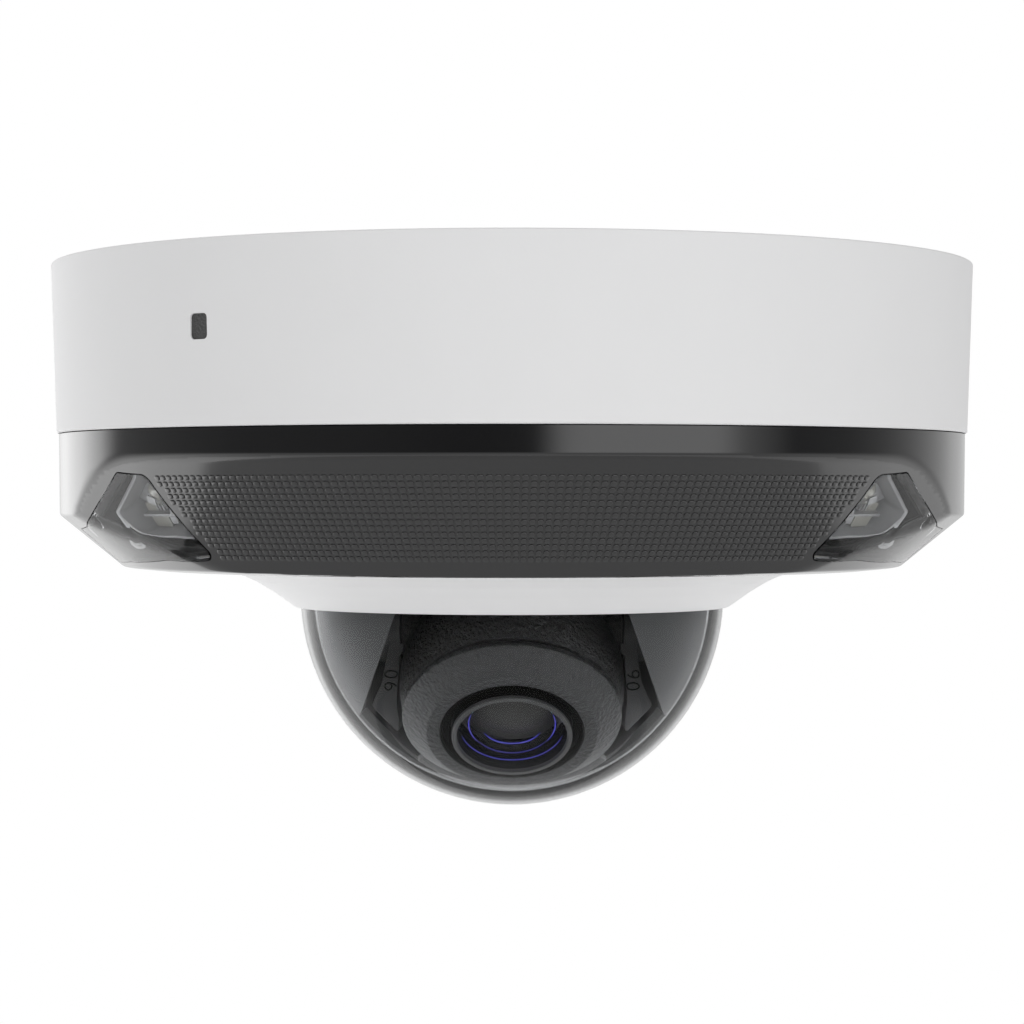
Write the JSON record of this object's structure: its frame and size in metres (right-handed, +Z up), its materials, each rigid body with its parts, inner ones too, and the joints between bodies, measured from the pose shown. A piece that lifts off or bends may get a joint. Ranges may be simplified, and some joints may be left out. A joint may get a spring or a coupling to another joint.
{
  "type": "dome cctv camera",
  "caption": "Ceiling dome camera with a white housing, a gloss black front cover with lamp windows, and a lens that pans, tilts and rolls behind a clear dome.",
  "frame": {"origin": "centre of the face that meets the ceiling", "axes": "+Z up into the ceiling, the front facet faces -Y, +X is the viewer's right from the front"},
  "size_m": [0.11, 0.11, 0.0645],
  "materials": {
    "black_gloss": "high gloss black with a grained front facet",
    "black_screw": "black oxide",
    "brass": "turned brass",
    "cable_jacket": "black jacket",
    "can_alu": "satin can",
    "chassis_alu": "die cast, bead blasted",
    "chip_black": "moulded epoxy",
    "circuit_green": "green solder mask",
    "clear_dome": "optically clear, polished",
    "clear_window": "clear, polished",
    "ferrite": "pressed ferrite",
    "gold_contact": "gold plated",
    "grain_grey": "fine grained dark grey",
    "internal_grey": "plain moulded grey",
    "ivory_plastic": "plain ivory",
    "lamp_body": "clear lens over a pale phosphor",
    "lamp_silver": "metallised reflector",
    "lens_glass": "coated glass with violet and green reflections",
    "red_plastic": "plain red",
    "rubber_black": "soft black",
    "rubber_grey": "soft grey-blue thermal pad",
    "satin_black": "satin black",
    "shroud_grey": "satin dark grey",
    "tinned_steel": "tin plated",
    "white_ring": "smooth matte white",
    "white_shell": "fine orange-peel texture, semi-matte white",
    "zinc_screw": "zinc plated"
  },
  "bodies": {
    "housing": {"base_shell": "white_shell", "cable_grommet": "rubber_black", "port_gasket": "rubber_black", "microphone": "can_alu", "threaded_inserts": "brass", "chassis": "chassis_alu", "chassis_screws": "zinc_screw", "main_board": "circuit_green", "board_screws": "zinc_screw", "network_jack": "tinned_steel", "jack_contacts": "gold_contact", "transformer": "chip_black", "capacitors": "can_alu", "inductors": "ferrite", "memory_chips": "chip_black", "processor": "chip_black", "thermal_pad": "rubber_grey", "card_socket": "tinned_steel", "reset_switch": "tinned_steel", "cable_connector": "ivory_plastic", "camera_cable": "cable_jacket", "pan_base": "satin_black", "pan_base_screws": "zinc_screw"},
    "pan": {"turntable": "satin_black", "spindle_clip": "zinc_screw", "cradle": "satin_black", "tilt_screws": "zinc_screw", "shroud": "shroud_grey"},
    "tilt": {"ball_rear": "grain_grey", "ball_front": "grain_grey", "ball_screws": "zinc_screw", "tilt_washers": "rubber_black"},
    "roll": {"roll_ring": "satin_black", "lens_holder": "satin_black", "lens_barrel": "satin_black", "front_glass": "lens_glass", "inner_lenses": "lens_glass", "image_sensor": "chip_black", "sensor_board": "circuit_green"},
    "cover": {"front_cover": "black_gloss", "window_left": "clear_window", "window_right": "clear_window", "window_seals": "rubber_black", "lamp_trays": "lamp_silver", "lamp_boards": "circuit_green", "lamps": "lamp_body", "lamp_parts": "chip_black", "cover_seal": "rubber_black", "cover_screws": "black_screw", "dome_ring": "white_ring", "dome": "clear_dome", "dome_gasket": "rubber_black", "dome_retainer": "internal_grey", "retainer_screws": "zinc_screw"},
    "card": {"memory_card": "chip_black"},
    "reset": {"reset_button": "red_plastic"}
  },
  "joints": [
    {"name": "pan_turn", "type": "hinge", "parent": "housing", "child": "pan", "pos_m": [0, 0, -0.025], "axis": [0, 0, 1], "range_deg": [-177, 177]},
    {"name": "tilt_turn", "type": "hinge", "parent": "pan", "child": "tilt", "pos_m": [0, 0, -0.0431], "axis": [1, 0, 0], "range_deg": [-31, 44]},
    {"name": "roll_turn", "type": "hinge", "parent": "tilt", "child": "roll", "pos_m": [0, 0, -0.0431], "axis": [0, -0.6947, -0.7193], "range_deg": [-175, 175]},
    {"name": "cover_lift", "type": "slide", "parent": "housing", "child": "cover", "axis": [0, 0, -1], "range_m": [0, 0.045]},
    {"name": "card_slide", "type": "slide", "parent": "housing", "child": "card", "axis": [0.6428, 0.766, 0], "range_m": [0, 0.013]},
    {"name": "reset_press", "type": "slide", "parent": "housing", "child": "reset", "axis": [0, 0, 1], "range_m": [0, 0.00025], "stiffness_N_per_m": 2000, "springref_m": -0.0002}
  ]
}
